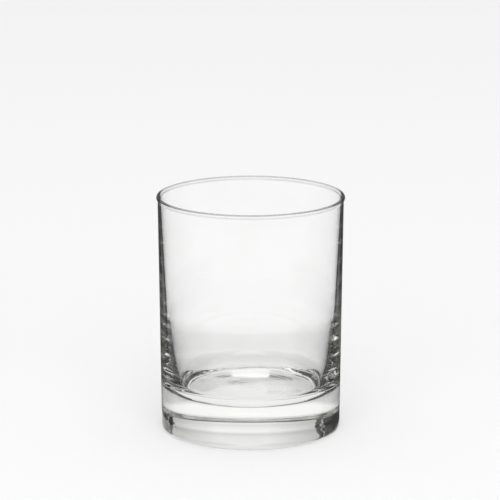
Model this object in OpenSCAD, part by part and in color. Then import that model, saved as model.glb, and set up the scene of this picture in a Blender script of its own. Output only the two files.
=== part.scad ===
// Straight-sided whisky tumbler with a heavy base, in clear glass.
// Every zone is a half section turned about +Z. The origin is the middle of
// the resting plane, and all sizes are in millimetres.

/* [Outside] */
// Height from the table to the top of the rim
height = 99; // [70:0.5:130]
// Outer diameter over the bead of the rim
rim_d = 78; // [60:0.5:100]
// Diameter at which the line of the side meets the table
foot_d = 74.2; // [60:0.2:96]

/* [Base] */
// Glass under the drinking floor
base_t = 16; // [8:0.5:30]
// Radius of the rounded heel
heel_r = 1.75; // [1:0.25:5]
// Width of the flat ring that stands on the table
ring_w = 5; // [2:0.25:10]
// Height of the shallow hollow inside that ring
hollow_h = 0.8; // [0.3:0.1:3]

/* [Cavity] */
// Radius of the corner round the drinking floor
corner_r = 8; // [3:0.5:14]
// Radius of the long curve from that corner up to the straight wall
bowl_r = 240; // [120:5:400]
// Height at which the straight wall starts
bowl_top = 50; // [35:1:70]
// Wall thickness at that height
wall_foot_t = 3.4; // [2:0.1:8]
// Wall thickness just under the rim
wall_top_t = 1.3; // [1:0.1:3]

/* [Rim] */
// How far the fire-polished bead stands out of the side
bead_out = 0.5; // [0.2:0.1:1.5]
// Radius of the blend under the bead
cove_r = 1.2; // [0.5:0.1:3]

/* [Hidden] */
$fn = 128;
glass = [0.88, 0.91, 0.89, 0.45];
// Straight steps along each arc of a section
arc_steps = 16;

// Points are [radius, z] in the half section, and angles are in degrees from
// the outward radius.
function direction(angle) = [cos(angle), sin(angle)];

// Points of an arc; first = 1 leaves out the point that it starts on
function arc(centre, radius, from, to, first = 0) =
    [for (i = [first : arc_steps])
        centre + radius * direction(from + (to - from) * i / arc_steps)];

// Bead: as thick as the wall under it and the part that stands out
bead_r = (wall_top_t + bead_out) / 2;
bead_c = [rim_d / 2 - bead_r, height - bead_r];

// Outside of the side: a straight line from the table to the bead
foot_r = foot_d / 2;
side_lean = atan((rim_d / 2 - bead_out - foot_r) / bead_c.y);
function outer_r(z) = foot_r + z * tan(side_lean);
side_out = direction(-side_lean);

// Heel: an arc that is tangent to the table and to the side
heel_c = [outer_r(heel_r) - heel_r / cos(side_lean), heel_r];

// Hollow under the base: a spherical cap inside the standing ring
hollow_edge = heel_c.x - ring_w;
hollow_r = (hollow_edge ^ 2 + hollow_h ^ 2) / (2 * hollow_h);
hollow_c = [0, hollow_h - hollow_r];

// Inside of the straight wall: from the top of the bowl, tangent to the bead
wall_foot = [outer_r(bowl_top) - wall_foot_t, bowl_top];
to_bead = bead_c - wall_foot;
wall_lean = atan2(to_bead.x, to_bead.y) - asin(bead_r / norm(to_bead));
function inner_r(z) = wall_foot.x + (z - bowl_top) * tan(wall_lean);

// Bowl: a long arc that is tangent to the straight wall and to the corner
bowl_c = wall_foot - bowl_r * direction(-wall_lean);
corner_lean = asin((bowl_c.y - base_t - corner_r) / (bowl_r - corner_r));

// Corner: an arc that is tangent to the floor and to the bowl
corner_c = bowl_c + (bowl_r - corner_r) * direction(-corner_lean);
corner_end = corner_c + corner_r * direction(-corner_lean);
base_edge = [outer_r(corner_end.y), corner_end.y];

// Cove: an arc that is tangent to the side and to the bead
bead_depth = (outer_r(bead_c.y) - bead_c.x) * cos(side_lean);
cove_drop = sqrt((bead_r + cove_r) ^ 2 - (cove_r + bead_depth) ^ 2);
cove_c = bead_c + (cove_r + bead_depth) * side_out
    - cove_drop * direction(90 - side_lean);
neck = cove_c - cove_r * side_out;
to_cove = cove_c - bead_c;
cove_angle = atan2(to_cove.y, to_cove.x);

// Thick base: hollow, standing ring, heel, and the floor of the cavity
module heavy_base() {
    color(glass)
    rotate_extrude()
    polygon(concat(
        arc(hollow_c, hollow_r, 90, acos(hollow_edge / hollow_r)),
        arc(heel_c, heel_r, -90, -side_lean),
        [base_edge],
        arc(corner_c, corner_r, -corner_lean, -90),
        [[0, base_t]]));
}

// Wall, which thins in a long curve out of the base and then straight on
// towards the rim
module side_wall() {
    color(glass)
    rotate_extrude()
    polygon(concat(
        [base_edge, neck, [inner_r(neck.y), neck.y]],
        arc(bowl_c, bowl_r, -wall_lean, -corner_lean)));
}

// Rim: a round bead and the blend that carries it into the wall
module rim_bead() {
    color(glass)
    rotate_extrude()
    polygon(concat(
        [[inner_r(neck.y), neck.y]],
        arc(cove_c, cove_r, 180 - side_lean, 180 + cove_angle),
        arc(bead_c, bead_r, cove_angle, 180 - wall_lean, first = 1)));
}

heavy_base();
side_wall();
rim_bead();
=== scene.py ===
# Whisky tumbler of clear glass: the glass itself, and the pale studio table it is photographed on.
import math
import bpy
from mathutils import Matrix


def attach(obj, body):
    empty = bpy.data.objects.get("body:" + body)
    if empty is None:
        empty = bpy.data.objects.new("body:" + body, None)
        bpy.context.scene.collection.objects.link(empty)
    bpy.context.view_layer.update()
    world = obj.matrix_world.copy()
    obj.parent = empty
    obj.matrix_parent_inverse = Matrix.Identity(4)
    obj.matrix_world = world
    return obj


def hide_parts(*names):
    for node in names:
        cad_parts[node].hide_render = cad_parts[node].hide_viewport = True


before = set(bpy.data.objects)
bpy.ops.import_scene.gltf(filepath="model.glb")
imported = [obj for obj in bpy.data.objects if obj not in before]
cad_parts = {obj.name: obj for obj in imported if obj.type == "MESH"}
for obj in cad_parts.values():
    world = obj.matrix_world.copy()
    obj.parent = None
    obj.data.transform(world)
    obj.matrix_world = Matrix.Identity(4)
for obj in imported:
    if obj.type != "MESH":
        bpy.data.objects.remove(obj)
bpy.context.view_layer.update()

from types import SimpleNamespace

import bpy
from bpy.props import FloatProperty, FloatVectorProperty, IntProperty, PointerProperty

bl_info = {
    "name": "Whisky Tumbler",
    "version": (1, 0, 0),
    "blender": (4, 5, 0),
    "location": "3D View > Sidebar > Tumbler",
    "description": "Makes a heavy-based tumbler of clear glass and a pale studio stage for it",
    "category": "Add Mesh",
}

MM = 0.001
RIGHT_ANGLE = math.pi / 2
FULL_TURN = 2 * math.pi
UP = (0.0, 0.0, 1.0)
BODY = "root"
GLASS_NODES = ("heavy_base", "side_wall", "rim_bead")

# Steps of the section's arcs and straight stretches
HOLLOW_STEPS = 10
RING_STEPS = 2
HEEL_STEPS = 14
SIDE_STEPS = 12
COVE_STEPS = 8
BEAD_STEPS = 28
BOWL_STEPS = 24
CORNER_STEPS = 20
FLOOR_STEPS = 12
# A straight stretch has a point this near to each end, which keeps smooth shading true by an arc
SUPPORT = 0.25 * MM
WELD = 0.001 * MM
# Side of the small square that is drawn together into the section's first point
SEED_SIZE = 10 * MM

# Heights over which the painted shade on top of the rim begins: a grey line that darkens the glass
# there
RIM_SHADE = (98.3 * MM, 98.7 * MM)
# Noise of the traces of handling, and the part of its range over which they show
HANDLING_NOISE = {"Scale": 45.0, "Detail": 4.0, "Roughness": 0.6}
HANDLING_RANGE = (0.45, 0.75)
# Noise of the slow waves in the cavity, and how much closer together they lie upwards
WAVE_NOISE = {"Scale": 42.0, "Detail": 0.0, "Roughness": 0.4, "Distortion": 0.6}
WAVE_SQUEEZE = (1.0, 1.0, 1.7)
# Radii over which the waves begin inside the cavity
WAVE_EDGE = (35.2 * MM, 34.6 * MM)
# Heights over which they grow down the bowl, and over which they begin above the hollow
WAVE_TOP = (40 * MM, 22 * MM)
WAVE_FOOT = (8 * MM, 12 * MM)
# Faint step round the drinking floor: its radii, and its height as a share of the waves
FLOOR_STEP = (24.3 * MM, 26.3 * MM)
FLOOR_STEP_RISE = 0.035
# Turning marks: noise by distance from the axis, and their height as a share of the waves
TURNING_NOISE = {"Scale": 800.0, "Detail": 1.0}
TURNING_RISE = 0.16

# Stops are (elevation in degrees, tone): what the glass sees of the studio above the table
STUDIO_TONES = (
    (0, 0.76), (10, 0.76), (15, 0.97), (16.2, 0.85), (17.3, 0.68), (19, 0.80),
    (22, 0.85), (27, 0.88), (32, 0.12), (60, 0.12), (66, 0.55), (90, 0.55),
)

TABLE_SIZE = 10.0
# The table lies this far under the standing ring, so that the two faces don't meet in one plane
TABLE_DROP = 0.01 * MM
# Painted shade: the table's colour darkens behind the glass towards the far colour, as light falls
# off.
# Stops are (metres behind the glass, share of the far table's colour)
TABLE_SHADE_FALLOFF = ((-0.1, 0), (0.0, 0.05), (0.12, 0.35), (0.35, 0.35), (0.7, 0.6), (1.3, 1.0))
# Painted light and shade that the glass shows of the table at its foot: the table glows with these
# tones there, for the glass's shadow and the light it gathers. Distances are in millimetres.
# Stops are (distance from the axis, tone) in a flat view of the table
FOOT_PAINTED_LIGHT = (
    (0, 0.84), (30, 0.86), (37, 0.95), (44, 1.0), (55, 1.0), (58, 0.86),
    (80, 0.84), (92, 0.80), (107, 0.81), (114, 0.89), (130, 0.945), (320, 0.96),
)
# The same painted light and shade in a steep view, without the painted sheen of a flat one
STEEP_FOOT_PAINTED_LIGHT = (
    (0, 0.86), (36, 0.90), (43, 0.78), (58, 0.72),
    (75, 0.74), (107, 0.78), (130, 0.93), (320, 0.96),
)
# How flatly the table is seen, from 0 straight down to 1: the range over which it gains its painted
# sheen
FOOT_PAINTED_SHEEN = (0.48, 0.58)
# Stops are (distance to the side, share): the painted bright ring is brightest straight behind the
# glass
FOOT_PAINTED_SPOT = ((0, 1.0), (4, 1.0), (9, 0.72), (60, 0.72))
# Stops are (distance from the axis, how far that holds) for the painted bright ring
FOOT_PAINTED_SPOT_RING = ((0, 0), (40, 0), (45, 1.0), (62, 1.0), (72, 0), (320, 0))
# Distances over which this painted light and shade gives way to the lit table
FOOT_FADE = (220, 320)

# The dark flag round the glass paints shade into its reflections. Heights and distances are in
# millimetres
FLAG_RADIUS = 43.5
FLAG_SIDES = 256
# Rings of the flag: (height, how far the ring is set off to the side)
FLAG_RINGS = ((0, -3.7), (15, -3.7), (20, -2.0), (28, -1.4), (40, -0.6), (48, 0), (130, 0))
# Heights over which the flag goes over from the base's edges to the wall's
FLAG_CHANGE = (22, 32)
# Stops are (height, radius in decimetres) of the cavity and of the side, as the flag sees them
FLAG_CAVITY = (
    (0, 0.290), (14, 0.295), (20, 0.306), (27, 0.316), (33, 0.324),
    (38, 0.329), (48, 0.338), (90, 0.362), (130, 0.378),
)
FLAG_SIDE = ((0, 0.361), (130, 0.379))
DECIMETRE = 100.0
# Stops are (distance of the light's path from the axis, darkness) for the base
FLAG_BASE = (
    (0, 0), (10, 0), (29, 0.4), (29.3, 1.0), (31.2, 1.0), (31.6, 0.45), (32.0, 1.0), (55, 1.0))
# Stops are (height, how much nearer to the axis the base's edge lies, in centimetres)
FLAG_SHIFT = ((0, 0), (18, 0), (22, 1.2), (40, 1.2), (52, 0), (130, 0))
CENTIMETRE = 10.0
# How far the base's edge wanders, the noise it follows, and the part of its range that counts
FLAG_WOBBLE = 0.8
FLAG_NOISE = {"Scale": 300.0, "Detail": 1.0}
FLAG_NOISE_RANGE = (0.3, 0.7)
# Stops are (distance of the light's path outside the cavity's radius, darkness) for the wall
FLAG_WALL = ((-30, 0), (-14, 0), (-8, 0.2), (-2, 0.3), (-0.35, 0.33), (0, 1.0), (5, 1.0))
# Stops are (height, darkness) for the bead of the rim
FLAG_RIM = ((0, 0), (91, 0), (93, 0.12), (106, 0.12), (112, 0), (130, 0))
# Stops are (1 less the sine of the slope, darkness): light that leaves the glass steeply
FLAG_STEEP = ((0, 0), (0.24, 0), (0.32, 1.0), (0.50, 1.0), (0.58, 0), (1, 0))
# Stops are (height, how much less steep it need be) for the corner of the cavity and the bowl
FLAG_EASE = ((0, 0), (20, 0), (24, 0.20), (38, 0.20), (52, 0), (130, 0))
# Distances of the light's path from the axis over which steep light starts to be darkened
FLAG_ASIDE = (14, 20)
# Tone of the flag, and stops of its tone in the wall: (share of the wall's thickness, tone).
# The lighter stripes are painted reflections in the glass's dark edges
FLAG_BLACK = 0.04
FLAG_PAINTED_STRIPES = (
    (-4, 0.05), (-0.06, 0.05), (0.05, 0.045), (0.26, 0.17),
    (0.42, 0.20), (0.60, 0.09), (0.82, 0.12), (1.0, 0.25),
)

# Camera of the photographed view
CAMERA_PLACE = (-0.00029, -1.4115, 0.4085)
CAMERA_DIP = math.radians(13.269)
CAMERA_LENS = 252.0
CAMERA_SENSOR = 36.0

KEY_PLACE = (0.0, -1.0, 1.0)
LIGHT_BOUNCES = 32
# The bounces of a light's path are whole numbers, so more than this is at least one
ANY_BOUNCE = 0.5
# Layer Weight gives 1 less the cosine of the angle to the normal at this blend
PLAIN_BLEND = 0.5
NODE_SPACING = 220


class TumblerSizes(bpy.types.PropertyGroup):
    """Sizes of the glass"""

    height: FloatProperty(
        name="Height", description="From the table to the top of the rim",
        default=99 * MM, min=70 * MM, max=130 * MM, unit='LENGTH')
    rim_diameter: FloatProperty(
        name="Rim", description="Outer diameter over the bead of the rim",
        default=78 * MM, min=60 * MM, max=100 * MM, unit='LENGTH')
    foot_diameter: FloatProperty(
        name="Foot", description="Diameter at which the line of the side meets the table",
        default=74.2 * MM, min=60 * MM, max=96 * MM, unit='LENGTH')
    base_thickness: FloatProperty(
        name="Base", description="Glass under the drinking floor",
        default=16 * MM, min=8 * MM, max=30 * MM, unit='LENGTH')
    heel_radius: FloatProperty(
        name="Heel", description="Radius of the rounded heel",
        default=1.75 * MM, min=1 * MM, max=5 * MM, unit='LENGTH')
    ring_width: FloatProperty(
        name="Standing ring", description="Width of the flat ring that stands on the table",
        default=5 * MM, min=2 * MM, max=10 * MM, unit='LENGTH')
    hollow_height: FloatProperty(
        name="Hollow", description="Height of the shallow hollow inside the standing ring",
        default=0.8 * MM, min=0.3 * MM, max=3 * MM, unit='LENGTH')
    corner_radius: FloatProperty(
        name="Corner", description="Radius of the corner round the drinking floor",
        default=8 * MM, min=2 * MM, max=14 * MM, unit='LENGTH')
    bowl_radius: FloatProperty(
        name="Bowl", description="Radius of the long curve from that corner into the straight wall",
        default=240 * MM, min=80 * MM, max=300 * MM, unit='LENGTH')
    bowl_top: FloatProperty(
        name="Bowl top", description="Height at which the straight wall starts",
        default=50 * MM, min=30 * MM, max=80 * MM, unit='LENGTH')
    wall_foot: FloatProperty(
        name="Wall at the bowl", description="Wall thickness at the top of the bowl",
        default=3.4 * MM, min=2 * MM, max=8 * MM, unit='LENGTH')
    wall_top: FloatProperty(
        name="Wall at the rim", description="Wall thickness just under the rim",
        default=1.3 * MM, min=1 * MM, max=3 * MM, unit='LENGTH')
    bead_out: FloatProperty(
        name="Bead", description="How far the fire-polished bead stands out of the side",
        default=0.5 * MM, min=0.2 * MM, max=1.5 * MM, unit='LENGTH')
    cove_radius: FloatProperty(
        name="Cove", description="Radius of the blend under the bead",
        default=1.2 * MM, min=0.5 * MM, max=3 * MM, unit='LENGTH')
    turns: IntProperty(
        name="Steps round", description="Steps of the turned shape round its axis",
        default=576, min=64, max=640)


class GlassFinish(bpy.types.PropertyGroup):
    """Colour and surface of the glass"""

    ior: FloatProperty(
        name="Refraction", description="Index of refraction of the glass",
        default=1.52, min=1.4, max=1.8)
    tint: FloatVectorProperty(
        name="Tint", description="Colour that light takes on in thick glass",
        subtype='COLOR', size=3, default=(0.80, 0.823, 0.70), min=0.0, max=1.0)
    tint_depth: FloatProperty(
        name="Tint depth", description="How soon light takes on the tint, per metre",
        default=3.0, min=0.0, max=50.0)
    clear: FloatVectorProperty(
        name="Clear", description="Colour of the cleanest glass",
        subtype='COLOR', size=3, default=(1.0, 1.0, 1.0), min=0.0, max=1.0)
    handled: FloatVectorProperty(
        name="Handled", description="Colour of glass with a trace of handling",
        subtype='COLOR', size=3, default=(0.985, 0.985, 0.98), min=0.0, max=1.0)
    # Colour of the painted shade along the top of the rim: a grey line that darkens the light
    # through it
    rim: FloatVectorProperty(
        name="Rim", description="Colour of the worn line along the top of the rim",
        subtype='COLOR', size=3, default=(0.5, 0.5, 0.5), min=0.0, max=1.0)
    haze: FloatProperty(
        name="Haze", description="Roughness of glass with a trace of handling",
        default=0.02, min=0.0, max=0.2)
    swirl: FloatProperty(
        name="Swirl", description="Depth of the slow waves in the bottom of the cavity",
        default=0.6 * MM, min=0.0, max=1 * MM, unit='LENGTH')


class StudioStage(bpy.types.PropertyGroup):
    """Table and light"""

    table: FloatVectorProperty(
        name="Table", description="Colour of the pale table",
        subtype='COLOR', size=3, default=(0.99, 0.99, 0.99), min=0.0, max=1.0)
    # Painted shade: the table takes on this darker colour far behind the glass, as light falls off
    far_table_shade: FloatVectorProperty(
        name="Far table", description="Colour of the table far behind the glass",
        subtype='COLOR', size=3, default=(0.89, 0.89, 0.89), min=0.0, max=1.0)
    backdrop: FloatProperty(
        name="Backdrop", description="Tone of the backdrop beyond the table",
        default=0.9, min=0.0, max=1.0)
    room_light: FloatProperty(
        name="Room light", description="Strength of the even light from all sides",
        default=0.82, min=0.0, max=2.0)
    glow: FloatProperty(
        name="Glow", description="Strength of the light that the glass gathers onto the table",
        default=1.5, min=0.0, max=3.0)
    key_power: FloatProperty(
        name="Key light", description="Power of the round soft light above the camera",
        default=0.75, min=0.0, max=100.0)
    key_spread: FloatProperty(
        name="Key spread", description="Width of the round soft light, seen from the glass",
        default=math.radians(50), min=0.0, max=math.radians(180), subtype='ANGLE')
    key_rise: FloatProperty(
        name="Key rise", description="Angle of the round soft light above the table",
        default=math.radians(45), min=0.0, max=math.radians(90), subtype='ANGLE')


# Nodes

def add_node(tree, kind, inputs=None, **settings):
    """Places a node with its settings, and fills its inputs with values or other nodes' outputs"""
    made = tree.nodes.new(kind)
    made.location = (NODE_SPACING * len(tree.nodes), 0)
    for name, value in settings.items():
        setattr(made, name, value)
    for name, value in (inputs or {}).items():
        if isinstance(value, bpy.types.NodeSocket):
            tree.links.new(value, made.inputs[name])
        else:
            made.inputs[name].default_value = value
    return made


def reckon(tree, operation, first, second=0.0):
    """One step of arithmetic"""
    return add_node(tree, 'ShaderNodeMath', {0: first, 1: second}, operation=operation).outputs[0]


def rescale(tree, value, low, high, to_low=0.0, to_high=1.0, curve='LINEAR'):
    """The value's place between low and high, laid out between to_low and to_high"""
    inputs = {
        "Value": value, "From Min": low, "From Max": high, "To Min": to_low, "To Max": to_high}
    return add_node(tree, 'ShaderNodeMapRange', inputs, interpolation_type=curve).outputs[0]


def tone_ramp(tree, value, stops):
    """A tone that follows the stops, each a place and a tone"""
    low = stops[0][0]
    high = stops[-1][0]
    ramp = add_node(tree, 'ShaderNodeValToRGB', {0: rescale(tree, value, low, high)})
    elements = ramp.color_ramp.elements
    while len(elements) < len(stops):
        elements.new(0.5)
    for element, (place, tone) in zip(elements, stops):
        element.position = (place - low) / (high - low)
        element.color = (tone, tone, tone, 1.0)
    return ramp.outputs["Color"]


def mix_tones(tree, share, first, second):
    """The first tone where share is 0, the second where it is 1"""
    mixed = add_node(tree, 'ShaderNodeMix', {0: share, 2: first, 3: second}, data_type='FLOAT')
    return mixed.outputs[0]


def mix_colours(tree, share, first, second):
    """The first colour where share is 0, the second where it is 1"""
    mixed = add_node(tree, 'ShaderNodeMix', {0: share, 6: first, 7: second}, data_type='RGBA')
    return mixed.outputs[2]


def noise(tree, inputs, **settings):
    """A tone that wanders over the surface"""
    return add_node(tree, 'ShaderNodeTexNoise', inputs, **settings).outputs["Fac"]


def flatness(tree, normal=None):
    """How flatly the surface is seen, from 0 straight on to 1, or a surface with another normal"""
    inputs = {"Blend": PLAIN_BLEND}
    if normal is not None:
        inputs["Normal"] = normal
    return add_node(tree, 'ShaderNodeLayerWeight', inputs).outputs["Facing"]


def opaque(colour):
    """The colour with a full alpha"""
    return (*colour, 1.0)


def new_material(name):
    """A material with nothing in it but its output"""
    material = bpy.data.materials.new(name)
    material.use_nodes = True
    tree = material.node_tree
    tree.nodes.clear()
    return material, tree, add_node(tree, 'ShaderNodeOutputMaterial')


def clear_glass(finish):
    """Fire-polished clear glass, faintly tinted and handled, with slow waves low in the cavity"""
    material, tree, output = new_material("clear_glass")
    place = add_node(tree, 'ShaderNodeTexCoord').outputs["Object"]
    axes = add_node(tree, 'ShaderNodeSeparateXYZ', {0: place}).outputs
    across = add_node(tree, 'ShaderNodeCombineXYZ', {0: axes[0], 1: axes[1]}).outputs[0]
    radius = add_node(
        tree, 'ShaderNodeVectorMath', {0: across}, operation='LENGTH').outputs["Value"]
    height = axes[2]

    handling = noise(tree, {**HANDLING_NOISE, "Vector": place})
    traces = rescale(tree, handling, *HANDLING_RANGE, curve='SMOOTHSTEP')
    colour = mix_colours(tree, traces, opaque(finish.clear), opaque(finish.handled))
    # Painted shade: the top of the rim is tinted grey, which draws a dark line along it
    shaded = rescale(tree, height, *RIM_SHADE, curve='SMOOTHSTEP')
    colour = mix_colours(tree, shaded, colour, opaque(finish.rim))
    roughness = rescale(tree, traces, 0.0, 1.0, 0.0, finish.haze)

    in_cavity = rescale(tree, radius, *WAVE_EDGE, curve='SMOOTHSTEP')
    low_down = rescale(tree, height, *WAVE_TOP, curve='SMOOTHSTEP')
    off_hollow = rescale(tree, height, *WAVE_FOOT)
    wavy = reckon(tree, 'MULTIPLY', reckon(tree, 'MULTIPLY', in_cavity, low_down), off_hollow)
    squeezed = add_node(
        tree, 'ShaderNodeVectorMath', {0: place, 1: WAVE_SQUEEZE}, operation='MULTIPLY').outputs[0]
    waves = noise(tree, {**WAVE_NOISE, "Vector": squeezed})
    floor_step = rescale(tree, radius, *FLOOR_STEP, 0.0, FLOOR_STEP_RISE, curve='SMOOTHSTEP')
    turning = noise(tree, {**TURNING_NOISE, "W": radius}, noise_dimensions='1D')
    marks = reckon(tree, 'MULTIPLY', reckon(tree, 'MULTIPLY', turning, waves), TURNING_RISE)
    relief = reckon(tree, 'ADD', waves, reckon(tree, 'ADD', floor_step, marks))
    relief = reckon(tree, 'MULTIPLY', relief, wavy)
    bump = add_node(
        tree, 'ShaderNodeBump', {"Strength": 1.0, "Distance": finish.swirl, "Height": relief})

    surface = add_node(
        tree, 'ShaderNodeBsdfPrincipled',
        {"Base Color": colour, "Metallic": 0.0, "Roughness": roughness, "IOR": finish.ior,
         "Transmission Weight": 1.0, "Normal": bump.outputs[0]})
    depth = add_node(
        tree, 'ShaderNodeVolumeAbsorption',
        {"Color": opaque(finish.tint), "Density": finish.tint_depth})
    tree.links.new(surface.outputs[0], output.inputs["Surface"])
    tree.links.new(depth.outputs[0], output.inputs["Volume"])
    return material


def table_with_painted_light(stage):
    """Pale table, darker far behind by painted shade, glowing with painted light and shade through
    the glass
    """
    material, tree, output = new_material("table_with_painted_light")
    place = add_node(tree, 'ShaderNodeTexCoord').outputs["Object"]
    axes = add_node(tree, 'ShaderNodeSeparateXYZ', {0: place}).outputs
    # Painted shade: the table is darker far behind the glass, as light falls off
    far = tone_ramp(tree, axes[1], TABLE_SHADE_FALLOFF)
    colour = mix_colours(tree, far, opaque(stage.table), opaque(stage.far_table_shade))
    surface = add_node(tree, 'ShaderNodeBsdfDiffuse', {"Color": colour})

    # Painted light and shade: seen through the glass, the table near the foot glows with tones for
    # a shadow, a bright ring and a sheen, in place of its lit colour
    metres = add_node(
        tree, 'ShaderNodeVectorMath', {0: place}, operation='LENGTH').outputs["Value"]
    radius = reckon(tree, 'DIVIDE', metres, MM)
    aside = reckon(tree, 'DIVIDE', reckon(tree, 'ABSOLUTE', axes[0]), MM)
    in_ring = tone_ramp(tree, radius, FOOT_PAINTED_SPOT_RING)
    painted_spot = mix_tones(tree, in_ring, 1.0, tone_ramp(tree, aside, FOOT_PAINTED_SPOT))
    flat_painted_light = reckon(tree, 'MULTIPLY', tone_ramp(tree, radius, FOOT_PAINTED_LIGHT), painted_spot)
    steep_painted_light = tone_ramp(tree, radius, STEEP_FOOT_PAINTED_LIGHT)
    painted_sheen = rescale(tree, flatness(tree), *FOOT_PAINTED_SHEEN)
    foot = add_node(
        tree, 'ShaderNodeEmission', {"Color": mix_tones(tree, painted_sheen, steep_painted_light, flat_painted_light)})
    through = add_node(tree, 'ShaderNodeLightPath').outputs["Is Transmission Ray"]
    near = rescale(tree, radius, *FOOT_FADE, 1.0, 0.0)
    shown = add_node(
        tree, 'ShaderNodeMixShader',
        {0: reckon(tree, 'MULTIPLY', through, near), 1: surface.outputs[0], 2: foot.outputs[0]})
    tree.links.new(shown.outputs[0], output.inputs["Surface"])
    return material


def painted_shade_flag():
    """Black flag that only light reflected in the glass meets, so that the glass has painted dark
    edges
    """
    material, tree, output = new_material("painted_shade_flag")
    place = add_node(tree, 'ShaderNodeTexCoord').outputs["Object"]
    metres = add_node(tree, 'ShaderNodeSeparateXYZ', {0: place}).outputs[2]
    height = reckon(tree, 'DIVIDE', metres, MM)

    # Distance of the light's path from the axis, and how level the path is
    normal = add_node(tree, 'ShaderNodeNewGeometry').outputs["Normal"]
    along = add_node(
        tree, 'ShaderNodeVectorMath', {0: normal, 1: UP}, operation='CROSS_PRODUCT').outputs[0]
    sideways = reckon(tree, 'SUBTRACT', 1.0, flatness(tree, along))
    off_axis = reckon(tree, 'MULTIPLY', sideways, FLAG_RADIUS)
    upright = add_node(tree, 'ShaderNodeCombineXYZ', {2: 1.0}).outputs[0]
    level = flatness(tree, upright)

    # Darkness of the base's edges, which are ragged, and of the wall's
    shift = reckon(tree, 'MULTIPLY', tone_ramp(tree, height, FLAG_SHIFT), CENTIMETRE)
    ragged = noise(tree, {**FLAG_NOISE, "Vector": place})
    wobble = rescale(tree, ragged, *FLAG_NOISE_RANGE, -FLAG_WOBBLE, FLAG_WOBBLE)
    near_edge = reckon(tree, 'ADD', off_axis, reckon(tree, 'ADD', shift, wobble))
    cavity = reckon(tree, 'MULTIPLY', tone_ramp(tree, height, FLAG_CAVITY), DECIMETRE)
    off_cavity = reckon(tree, 'SUBTRACT', off_axis, cavity)
    in_strip = rescale(tree, height, *FLAG_CHANGE)
    edge = mix_tones(
        tree, in_strip,
        tone_ramp(tree, near_edge, FLAG_BASE), tone_ramp(tree, off_cavity, FLAG_WALL))

    # Darkness of the rim and of steep light
    darkness = reckon(tree, 'MAXIMUM', edge, tone_ramp(tree, height, FLAG_RIM))
    ease = tone_ramp(tree, height, FLAG_EASE)
    steep = tone_ramp(tree, reckon(tree, 'SUBTRACT', level, ease), FLAG_STEEP)
    aside = rescale(tree, off_axis, *FLAG_ASIDE)
    darkness = reckon(tree, 'MAXIMUM', darkness, reckon(tree, 'MULTIPLY', steep, aside))

    # Only light that was reflected in the glass, and has not come off the table
    path = add_node(tree, 'ShaderNodeLightPath').outputs
    reflected = reckon(tree, 'GREATER_THAN', path["Glossy Depth"], ANY_BOUNCE)
    not_off_table = reckon(tree, 'LESS_THAN', path["Diffuse Depth"], ANY_BOUNCE)
    flagged = reckon(tree, 'MULTIPLY', reflected, not_off_table)

    # Tone of the flag, which has lighter stripes in the wall: painted reflections in the dark edges
    side = reckon(tree, 'MULTIPLY', tone_ramp(tree, height, FLAG_SIDE), DECIMETRE)
    in_wall = reckon(tree, 'DIVIDE', off_cavity, reckon(tree, 'SUBTRACT', side, cavity))
    striped = reckon(tree, 'MULTIPLY', in_strip, reckon(tree, 'SUBTRACT', 1.0, steep))
    tone = mix_tones(tree, striped, FLAG_BLACK, tone_ramp(tree, in_wall, FLAG_PAINTED_STRIPES))
    dark = add_node(tree, 'ShaderNodeEmission', {"Color": tone})
    clear = add_node(tree, 'ShaderNodeBsdfTransparent')
    shown = add_node(
        tree, 'ShaderNodeMixShader',
        {0: reckon(tree, 'MULTIPLY', flagged, darkness), 1: clear.outputs[0], 2: dark.outputs[0]})
    tree.links.new(shown.outputs[0], output.inputs["Surface"])
    return material


def studio_world(stage):
    """Even light on the table, and the studio's own tones in the glass"""
    world = bpy.data.worlds.new("studio")
    world.use_nodes = True
    tree = world.node_tree
    tree.nodes.clear()
    output = add_node(tree, 'ShaderNodeOutputWorld')
    path = add_node(tree, 'ShaderNodeLightPath').outputs
    towards = add_node(tree, 'ShaderNodeTexCoord').outputs["Generated"]
    rise = add_node(tree, 'ShaderNodeSeparateXYZ', {0: towards}).outputs[2]
    degrees = reckon(tree, 'DEGREES', reckon(tree, 'ARCSINE', rise))
    by_glass = reckon(tree, 'MAXIMUM', path["Is Glossy Ray"], path["Is Transmission Ray"])
    on_table = reckon(tree, 'GREATER_THAN', path["Diffuse Depth"], ANY_BOUNCE)
    seen = mix_tones(tree, on_table, tone_ramp(tree, degrees, STUDIO_TONES), stage.glow)
    tone = mix_tones(tree, by_glass, stage.room_light, seen)
    tone = mix_tones(tree, path["Is Camera Ray"], tone, stage.backdrop)
    light = add_node(tree, 'ShaderNodeBackground', {"Color": tone, "Strength": 1.0})
    tree.links.new(light.outputs[0], output.inputs["Surface"])
    return world


# Section of the glass

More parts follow.
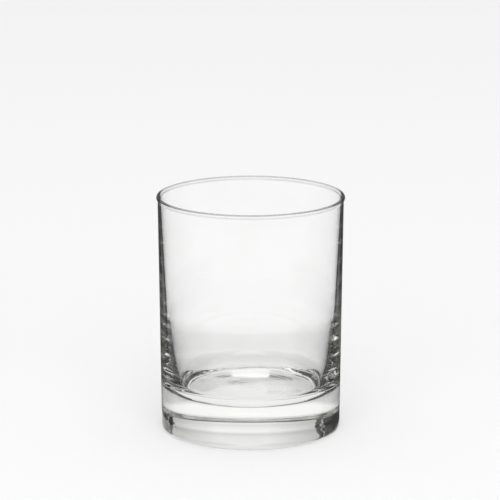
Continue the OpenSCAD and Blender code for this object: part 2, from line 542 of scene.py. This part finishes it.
def section_of(sizes):
    """Centres, radii and ends of the half section, as (radius, height) in metres"""
    made = SimpleNamespace()
    rim_radius = sizes.rim_diameter / 2
    foot_radius = sizes.foot_diameter / 2
    made.bead_radius = (sizes.wall_top + sizes.bead_out) / 2
    made.bead = (rim_radius - made.bead_radius, sizes.height - made.bead_radius)
    lean = math.atan((rim_radius - sizes.bead_out - foot_radius) / made.bead[1])
    made.side_lean = lean

    def side_radius(height):
        return foot_radius + height * math.tan(lean)

    heel = sizes.heel_radius
    made.heel = (side_radius(heel) - heel / math.cos(lean), heel)
    made.heel_end = (made.heel[0] + heel * math.cos(lean), heel - heel * math.sin(lean))
    made.hollow_edge = made.heel[0] - sizes.ring_width
    rise = sizes.hollow_height
    made.hollow_radius = (made.hollow_edge ** 2 + rise ** 2) / (2 * rise)

    made.wall_foot = (side_radius(sizes.bowl_top) - sizes.wall_foot, sizes.bowl_top)
    run = made.bead[0] - made.wall_foot[0]
    climb = made.bead[1] - sizes.bowl_top
    to_bead = math.hypot(run, climb)
    made.wall_lean = math.atan2(run, climb) - math.asin(made.bead_radius / to_bead)
    made.bowl = (
        made.wall_foot[0] - sizes.bowl_radius * math.cos(made.wall_lean),
        made.wall_foot[1] + sizes.bowl_radius * math.sin(made.wall_lean))
    apart = sizes.bowl_radius - sizes.corner_radius
    corner_height = sizes.base_thickness + sizes.corner_radius
    made.corner_lean = math.asin((made.bowl[1] - corner_height) / apart)
    made.corner = (made.bowl[0] + apart * math.cos(made.corner_lean), corner_height)
    made.bead_end = (
        made.bead[0] - made.bead_radius * math.cos(made.wall_lean),
        made.bead[1] + made.bead_radius * math.sin(made.wall_lean))

    cove = sizes.cove_radius
    bead_depth = (side_radius(made.bead[1]) - made.bead[0]) * math.cos(lean)
    out = cove + bead_depth
    drop = math.sqrt((made.bead_radius + cove) ** 2 - out ** 2)
    made.cove = (
        made.bead[0] + out * math.cos(lean) - drop * math.sin(lean),
        made.bead[1] - out * math.sin(lean) - drop * math.cos(lean))
    made.neck = (made.cove[0] - cove * math.cos(lean), made.cove[1] + cove * math.sin(lean))
    made.cove_angle = math.atan2(made.cove[1] - made.bead[1], made.cove[0] - made.bead[0])
    return made


def start_at(name, height):
    """A new mesh in edit mode, with one point on the axis"""
    bpy.ops.object.select_all(action='DESELECT')
    bpy.ops.mesh.primitive_plane_add(size=SEED_SIZE)
    piece = bpy.context.object
    piece.name = name
    piece.data.name = name
    bpy.ops.object.mode_set(mode='EDIT')
    bpy.ops.mesh.merge(type='CENTER')
    bpy.ops.transform.translate(value=(0.0, 0.0, height))
    return piece


def draw_arc(centre, turn, steps):
    """Turns the last point of the section about a centre"""
    bpy.ops.mesh.spin(
        steps=steps, angle=turn, center=(centre[0], 0.0, centre[1]), axis=(0.0, 1.0, 0.0))


def draw_line(start, end, steps):
    """Draws the section straight on, with a close point at each end"""
    length = math.dist(start, end)
    inner = length - 2 * SUPPORT
    stops = [0.0] + [SUPPORT + inner * step / steps for step in range(steps + 1)] + [length]
    for near, far in zip(stops, stops[1:]):
        share = (far - near) / length
        step = ((end[0] - start[0]) * share, 0.0, (end[1] - start[1]) * share)
        bpy.ops.mesh.extrude_region_move(TRANSFORM_OT_translate={"value": step})


# Steps of the build

class TUMBLER_OT_glass(bpy.types.Operator):
    """Draws the half section of the glass and turns it about the axis into one closed piece"""

    bl_idname = "tumbler.glass"
    bl_label = "Glass"
    bl_options = {'REGISTER', 'UNDO'}

    def execute(self, context):
        sizes = context.scene.tumbler_sizes
        shape = section_of(sizes)
        floor = sizes.base_thickness

        piece = start_at("tumbler_glass", sizes.hollow_height)
        hollow_turn = math.asin(shape.hollow_edge / shape.hollow_radius)
        draw_arc((0.0, sizes.hollow_height - shape.hollow_radius), -hollow_turn, HOLLOW_STEPS)
        draw_line((shape.hollow_edge, 0.0), (shape.heel[0], 0.0), RING_STEPS)
        draw_arc(shape.heel, RIGHT_ANGLE - shape.side_lean, HEEL_STEPS)
        draw_line(shape.heel_end, shape.neck, SIDE_STEPS)
        draw_arc(shape.cove, shape.cove_angle + shape.side_lean, COVE_STEPS)
        draw_arc(shape.bead, math.pi - shape.wall_lean - shape.cove_angle, BEAD_STEPS)
        draw_line(shape.bead_end, shape.wall_foot, SIDE_STEPS)
        draw_arc(shape.bowl, shape.wall_lean - shape.corner_lean, BOWL_STEPS)
        draw_arc(shape.corner, shape.corner_lean - RIGHT_ANGLE, CORNER_STEPS)
        draw_line((shape.corner[0], floor), (0.0, floor), FLOOR_STEPS)

        bpy.ops.mesh.select_all(action='SELECT')
        bpy.ops.mesh.spin(steps=sizes.turns, angle=FULL_TURN, center=(0.0, 0.0, 0.0), axis=UP)
        bpy.ops.mesh.select_all(action='SELECT')
        bpy.ops.mesh.remove_doubles(threshold=WELD)
        bpy.ops.mesh.normals_make_consistent(inside=False)
        bpy.ops.object.mode_set(mode='OBJECT')
        bpy.ops.object.shade_smooth()

        piece.data.materials.append(clear_glass(context.scene.tumbler_finish))
        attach(piece, BODY)
        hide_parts(*GLASS_NODES)
        return {'FINISHED'}


def lay_table(stage):
    """The pale table that the glass stands on"""
    bpy.ops.object.select_all(action='DESELECT')
    bpy.ops.mesh.primitive_plane_add(size=TABLE_SIZE, location=(0.0, 0.0, -TABLE_DROP))
    table = bpy.context.object
    table.name = "table"
    table.data.materials.append(table_with_painted_light(stage))


def set_flag():
    """The dark flag, drawn up ring by ring round the glass, which paints shade into its reflections
    """
    bpy.ops.object.select_all(action='DESELECT')
    bottom, offset = FLAG_RINGS[0]
    bpy.ops.mesh.primitive_circle_add(vertices=FLAG_SIDES, radius=FLAG_RADIUS * MM)
    flag = bpy.context.object
    flag.name = "flag"
    bpy.ops.object.mode_set(mode='EDIT')
    bpy.ops.transform.translate(value=(offset * MM, 0.0, bottom * MM))
    for (low, here), (high, there) in zip(FLAG_RINGS, FLAG_RINGS[1:]):
        step = ((there - here) * MM, 0.0, (high - low) * MM)
        bpy.ops.mesh.extrude_region_move(TRANSFORM_OT_translate={"value": step})
    bpy.ops.mesh.select_all(action='SELECT')
    bpy.ops.mesh.normals_make_consistent(inside=False)
    bpy.ops.object.mode_set(mode='OBJECT')
    bpy.ops.object.shade_smooth()
    flag.visible_camera = False
    flag.visible_diffuse = False
    flag.visible_shadow = False
    flag.data.materials.append(painted_shade_flag())


def set_key_light(stage):
    """The round soft light above the camera"""
    bpy.ops.object.select_all(action='DESELECT')
    bpy.ops.object.light_add(
        type='SUN', location=KEY_PLACE, rotation=(RIGHT_ANGLE - stage.key_rise, 0.0, 0.0))
    key = bpy.context.object
    key.name = "key_light"
    key.data.angle = stage.key_spread
    key.data.energy = stage.key_power
    key.visible_camera = False
    key.visible_glossy = False


def place_camera(scene):
    """The camera of the photographed view"""
    bpy.ops.object.select_all(action='DESELECT')
    bpy.ops.object.camera_add(
        location=CAMERA_PLACE, rotation=(RIGHT_ANGLE - CAMERA_DIP, 0.0, 0.0))
    camera = bpy.context.object
    camera.name = "camera"
    camera.data.lens = CAMERA_LENS
    camera.data.sensor_width = CAMERA_SENSOR
    scene.camera = camera


class TUMBLER_OT_stage(bpy.types.Operator):
    """Lays the pale table, sets the flag, the light and the backdrop, and places the camera"""

    bl_idname = "tumbler.stage"
    bl_label = "Stage"
    bl_options = {'REGISTER', 'UNDO'}

    def execute(self, context):
        scene = context.scene
        stage = scene.tumbler_stage
        scene.view_settings.view_transform = 'Standard'
        scene.cycles.max_bounces = LIGHT_BOUNCES
        scene.cycles.glossy_bounces = LIGHT_BOUNCES
        scene.cycles.transmission_bounces = LIGHT_BOUNCES
        scene.world = studio_world(stage)
        lay_table(stage)
        set_flag()
        set_key_light(stage)
        place_camera(scene)
        return {'FINISHED'}


class TUMBLER_PT_sidebar(bpy.types.Panel):
    """Sizes, finish and stage of the tumbler"""

    bl_idname = "TUMBLER_PT_sidebar"
    bl_label = "Whisky Tumbler"
    bl_space_type = 'VIEW_3D'
    bl_region_type = 'UI'
    bl_category = "Tumbler"

    def draw(self, context):
        scene = context.scene
        parts = (
            (scene.tumbler_sizes, None),
            (scene.tumbler_finish, TUMBLER_OT_glass),
            (scene.tumbler_stage, TUMBLER_OT_stage),
        )
        for group, operator in parts:
            column = self.layout.column(align=True)
            for name in group.__annotations__:
                column.prop(group, name)
            if operator:
                self.layout.operator(operator.bl_idname)


CLASSES = (
    TumblerSizes, GlassFinish, StudioStage, TUMBLER_OT_glass, TUMBLER_OT_stage, TUMBLER_PT_sidebar)


def register():
    for made in CLASSES:
        bpy.utils.register_class(made)
    bpy.types.Scene.tumbler_sizes = PointerProperty(type=TumblerSizes)
    bpy.types.Scene.tumbler_finish = PointerProperty(type=GlassFinish)
    bpy.types.Scene.tumbler_stage = PointerProperty(type=StudioStage)


def unregister():
    del bpy.types.Scene.tumbler_stage
    del bpy.types.Scene.tumbler_finish
    del bpy.types.Scene.tumbler_sizes
    for made in reversed(CLASSES):
        bpy.utils.unregister_class(made)


def main():
    register()
    bpy.ops.tumbler.glass()
    bpy.ops.tumbler.stage()


if __name__ == "__main__":
    main()
